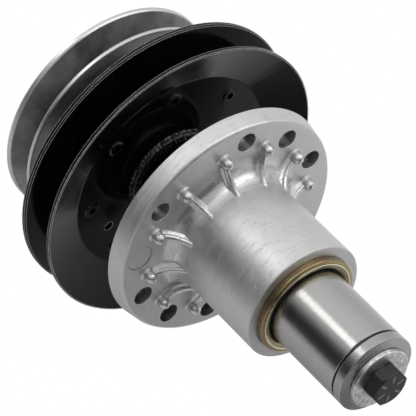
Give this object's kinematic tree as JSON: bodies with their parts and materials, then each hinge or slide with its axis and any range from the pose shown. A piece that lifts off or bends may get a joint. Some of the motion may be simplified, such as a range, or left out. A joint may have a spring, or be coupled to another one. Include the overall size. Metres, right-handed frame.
{
  "type": "mower deck spindle",
  "caption": "Mower deck spindle: ribbed flange housing with a shaft on tapered roller bearings, stacked belt pulleys on top and a clamp bolt below.",
  "frame": {"origin": "centre of the flange's mounting face, on the shaft's axis", "axes": "+Z along the shaft towards the pulleys, so the blade bolt points down; +Y away from the side pictured"},
  "size_m": [0.165, 0.165, 0.2595],
  "materials": {
    "cast_housing": "satin as cast, lightly scuffed",
    "bearing_steel": "ground and polished",
    "cage_steel": "pressed, oiled",
    "seal_zinc": "yellow zinc plated",
    "seal_rubber": "matt moulded",
    "shaft_steel": "turned",
    "sleeve_steel": "ground, bright",
    "washer_zinc": "bright zinc plated, mottled",
    "bolt_black": "black oxide, oiled",
    "pulley_black": "gloss black enamel",
    "rivet_black": "gloss black over steel",
    "pulley_grey": "satin grey with bright worn rims"
  },
  "bodies": {
    "housing": {"housing": "cast_housing", "upper_cup": "bearing_steel", "lower_cup": "bearing_steel", "upper_seal_case": "seal_zinc", "upper_seal_lip": "seal_rubber", "lower_seal_case": "seal_zinc", "lower_seal_lip": "seal_rubber"},
    "spindle": {"shaft": "shaft_steel", "bearing_spacer": "shaft_steel", "upper_cone": "bearing_steel", "lower_cone": "bearing_steel", "blade_sleeve": "sleeve_steel", "upper_sleeve": "sleeve_steel", "end_collar": "sleeve_steel", "bolt_washer": "washer_zinc", "blade_bolt": "bolt_black", "hub_spacer": "sleeve_steel", "top_washer": "washer_zinc", "top_nut": "washer_zinc", "lower_pulley_hub": "pulley_black", "lower_pulley_lower_disc": "pulley_black", "lower_pulley_upper_disc": "pulley_black", "lower_pulley_lower_weld": "pulley_black", "lower_pulley_upper_weld": "pulley_black", "lower_pulley_rivets": "rivet_black", "lower_pulley_key": "shaft_steel", "upper_pulley_hub": "pulley_grey", "upper_pulley_lower_disc": "pulley_grey", "upper_pulley_upper_disc": "pulley_grey", "upper_pulley_lower_weld": "pulley_grey", "upper_pulley_upper_weld": "pulley_grey", "upper_pulley_rivets": "rivet_black", "upper_pulley_key": "shaft_steel"},
    "upper_cage": {"upper_cage": "cage_steel", "upper_rollers": "bearing_steel"},
    "lower_cage": {"lower_cage": "cage_steel", "lower_rollers": "bearing_steel"}
  },
  "joints": [
    {"name": "spindle_spin", "type": "hinge", "parent": "housing", "child": "spindle", "pos_m": [0, 0, 0], "axis": [0, 0, 1], "continuous": true},
    {"name": "upper_cage_spin", "type": "hinge", "parent": "housing", "child": "upper_cage", "pos_m": [0, 0, 0], "axis": [0, 0, 1], "continuous": true},
    {"name": "lower_cage_spin", "type": "hinge", "parent": "housing", "child": "lower_cage", "pos_m": [0, 0, 0], "axis": [0, 0, 1], "continuous": true}
  ],
  "couplings": [
    {"joint": "upper_cage_spin", "follows": "spindle_spin", "ratio": 0.418},
    {"joint": "lower_cage_spin", "follows": "spindle_spin", "ratio": 0.418}
  ]
}
